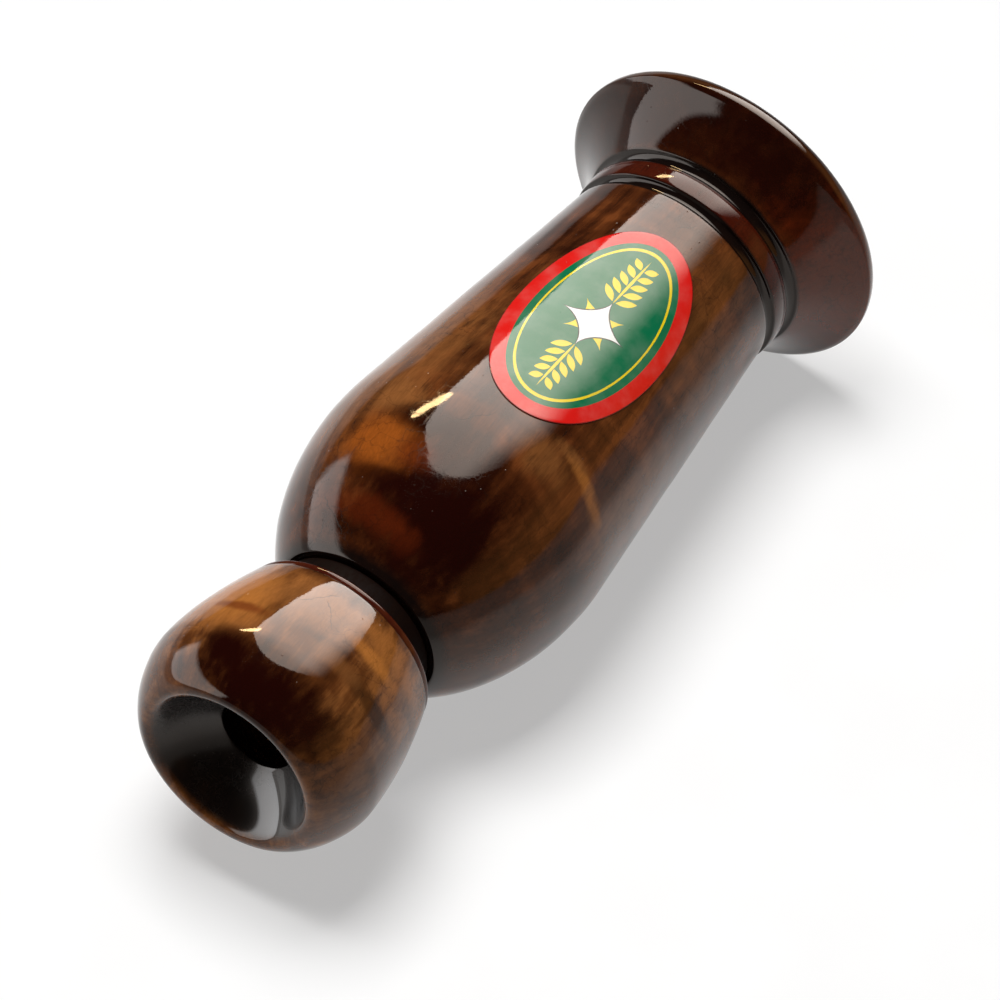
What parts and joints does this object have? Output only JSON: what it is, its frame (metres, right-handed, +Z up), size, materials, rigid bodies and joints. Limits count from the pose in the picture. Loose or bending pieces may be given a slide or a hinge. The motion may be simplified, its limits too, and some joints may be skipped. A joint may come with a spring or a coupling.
{
  "type": "fox call",
  "caption": "Turned hardwood predator call: a dished mouthpiece with a closed metal reed plugs into a tapered barrel with a flared bell.",
  "frame": {"origin": "on the floor under the middle of the call, which lies on its side", "axes": "+X along the call's axis from the mouthpiece to the bell, +Z up, the label turned towards -Y"},
  "size_m": [0.108, 0.0424, 0.0425],
  "materials": {
    "barrel_wood": "high-gloss lacquered walnut",
    "mouthpiece_wood": "high-gloss lacquered walnut",
    "label_vinyl": "printed vinyl under lacquer",
    "seal_rubber": "satin black rubber",
    "reed_brass": "drawn brass",
    "tongue_brass": "rolled spring brass",
    "wedge_wood": "bare wood"
  },
  "bodies": {
    "barrel": {"barrel": "barrel_wood", "label": "label_vinyl"},
    "seal_rings": {"front_seal_ring": "seal_rubber", "rear_seal_ring": "seal_rubber"},
    "mouthpiece": {"mouthpiece": "mouthpiece_wood", "reed_collar": "reed_brass", "reed_trough": "reed_brass", "reed_wedge": "wedge_wood"},
    "reed_tongue": {"reed_tongue": "tongue_brass"}
  },
  "joints": [
    {"name": "mouthpiece_pull", "type": "slide", "parent": "barrel", "child": "seal_rings", "axis": [-1, 0, 0], "range_m": [0, 0.03]},
    {"name": "mouthpiece_twist", "type": "hinge", "parent": "seal_rings", "child": "mouthpiece", "pos_m": [-0.0175, 0, 0.02125], "axis": [1, 0, 0], "continuous": true},
    {"name": "reed_swing", "type": "hinge", "parent": "mouthpiece", "child": "reed_tongue", "pos_m": [-0.01397, 0, 0.02145], "axis": [0, 1, 0], "range_deg": [-0.8, 2], "stiffness_Nm_per_rad": 0.01}
  ]
}
